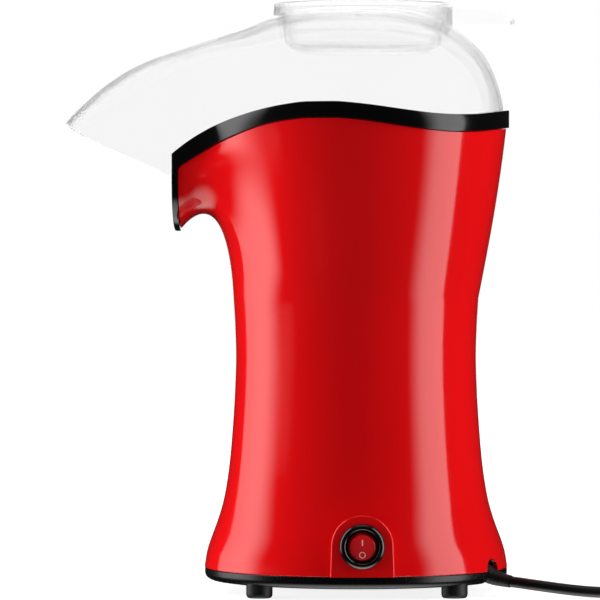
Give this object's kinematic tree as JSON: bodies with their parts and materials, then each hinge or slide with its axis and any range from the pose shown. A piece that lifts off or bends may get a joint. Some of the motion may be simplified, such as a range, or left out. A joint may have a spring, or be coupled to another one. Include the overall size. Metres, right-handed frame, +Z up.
{
  "type": "popcorn maker",
  "caption": "Hot-air popcorn maker: waisted red casing, black chute rim with a U-shaped front lip, clear spouted hood, lift-out clear measuring cup, rocker switch and mains lead.",
  "frame": {"origin": "on the surface it stands on, under the middle of the whole object without its mains lead", "axes": "+Z up; the spout points to -Y; the switch is on the +X side; the mains lead leaves at the back, +Y"},
  "size_m": [0.1601, 0.3746, 0.3005],
  "materials": {
    "casing_red": "high gloss injection-moulded ABS",
    "rim_black": "gloss black moulded plastic",
    "clear_plastic": "clear moulded plastic, polished",
    "base_black": "satin black moulded plastic",
    "rubber_black": "soft black rubber",
    "switch_black": "gloss black moulded plastic",
    "rocker_red": "translucent-looking red moulded plastic with white marks",
    "lead_black": "smooth black flexible PVC",
    "screw_steel": "zinc-plated steel",
    "sheet_steel": "galvanised steel sheet",
    "chamber_aluminium": "spun aluminium",
    "pin_brass": "nickel-plated brass",
    "winding_copper": "enamelled copper and laminations",
    "magnet_grey": "sintered ferrite",
    "inner_plastic": "glass-filled nylon",
    "mica": "mica sheet",
    "silicone": "silicone rubber",
    "board_green": "circuit board"
  },
  "bodies": {
    "root": {"casing": "casing_red", "chute_deck": "rim_black", "base_plate": "base_black", "switch_housing": "switch_black", "popping_chamber": "chamber_aluminium", "chamber_gasket": "silicone", "heater_shroud": "sheet_steel", "mica_frame": "mica", "heating_coil": "screw_steel", "blower_housing": "inner_plastic", "motor_mount": "inner_plastic", "motor_can": "sheet_steel", "motor_magnet_1": "magnet_grey", "motor_magnet_2": "magnet_grey", "motor_end_cap": "inner_plastic", "motor_bushing_bottom": "pin_brass", "motor_bushing_top": "pin_brass", "motor_brush_1": "magnet_grey", "motor_brush_2": "magnet_grey", "thermostat": "base_black", "thermal_fuse": "screw_steel", "rectifier_board": "board_green", "cord_clamp": "base_black", "clamp_screw": "screw_steel", "inner_lead": "lead_black", "heater_lead_1": "silicone", "heater_lead_2": "silicone", "strain_relief": "rubber_black", "power_cord": "lead_black", "cord_coil": "lead_black", "cord_tie": "rubber_black", "cord_tail": "lead_black", "plug_body": "lead_black", "plug_pin_1": "pin_brass", "plug_pin_2": "pin_brass", "foot_1": "rubber_black", "base_screw_1": "screw_steel", "foot_2": "rubber_black", "base_screw_2": "screw_steel", "foot_3": "rubber_black", "base_screw_3": "screw_steel", "foot_4": "rubber_black", "base_screw_4": "screw_steel", "housing_screw_1": "screw_steel", "housing_screw_2": "screw_steel", "housing_screw_3": "screw_steel"},
    "hood_part": {"hood": "clear_plastic"},
    "cup_part": {"measuring_cup": "clear_plastic"},
    "rocker_part": {"switch_rocker": "rocker_red"},
    "rotor": {"motor_shaft": "screw_steel", "motor_armature": "winding_copper", "motor_commutator": "winding_copper", "fan_impeller": "inner_plastic"}
  },
  "joints": [
    {"name": "hood_lift", "type": "slide", "parent": "root", "child": "hood_part", "axis": [0, 0, 1], "range_m": [0, 0.08]},
    {"name": "cup_lift", "type": "slide", "parent": "hood_part", "child": "cup_part", "axis": [0, 0, 1], "range_m": [0, 0.05]},
    {"name": "switch_rock", "type": "hinge", "parent": "root", "child": "rocker_part", "pos_m": [0.0722, 0.03595, 0.02775], "axis": [0, -1, 0], "range_deg": [0, 14]},
    {"name": "fan_spin", "type": "hinge", "parent": "root", "child": "rotor", "pos_m": [0, 0.0336, 0.05], "axis": [0, 0, 1], "continuous": true}
  ]
}
